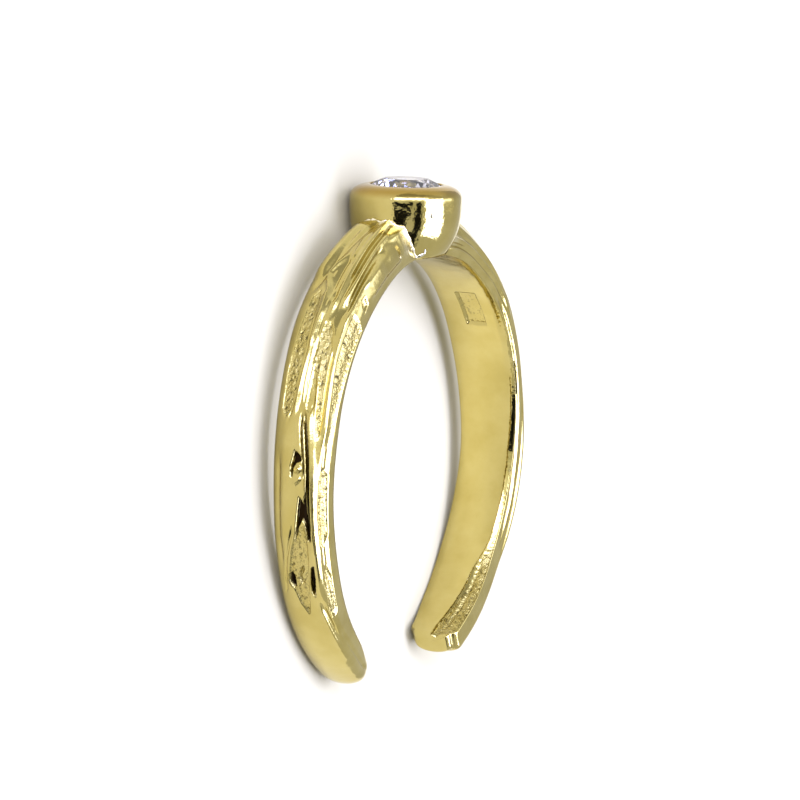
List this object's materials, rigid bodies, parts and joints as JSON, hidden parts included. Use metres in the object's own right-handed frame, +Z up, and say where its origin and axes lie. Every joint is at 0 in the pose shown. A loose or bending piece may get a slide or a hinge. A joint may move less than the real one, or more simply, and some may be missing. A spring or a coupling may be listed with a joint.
{
  "type": "toe ring",
  "caption": "Open toe ring with a cast twig-textured band and a round faceted stone in a burnished bezel, lying on its side.",
  "frame": {"origin": "centre of the lying ring's bounding box, on the surface that it rests on", "axes": "+Z up, about 4 degrees off the ring's own axis; the bezel faces -Y and the open gap between the tips faces +Y"},
  "size_m": [0.0179, 0.0185, 0.0042],
  "materials": {
    "gold_plate": "polished pale yellow gold plate",
    "stone": "clear faceted stone"
  },
  "bodies": {
    "root": {"band": "gold_plate", "stone": "stone"}
  },
  "joints": []
}
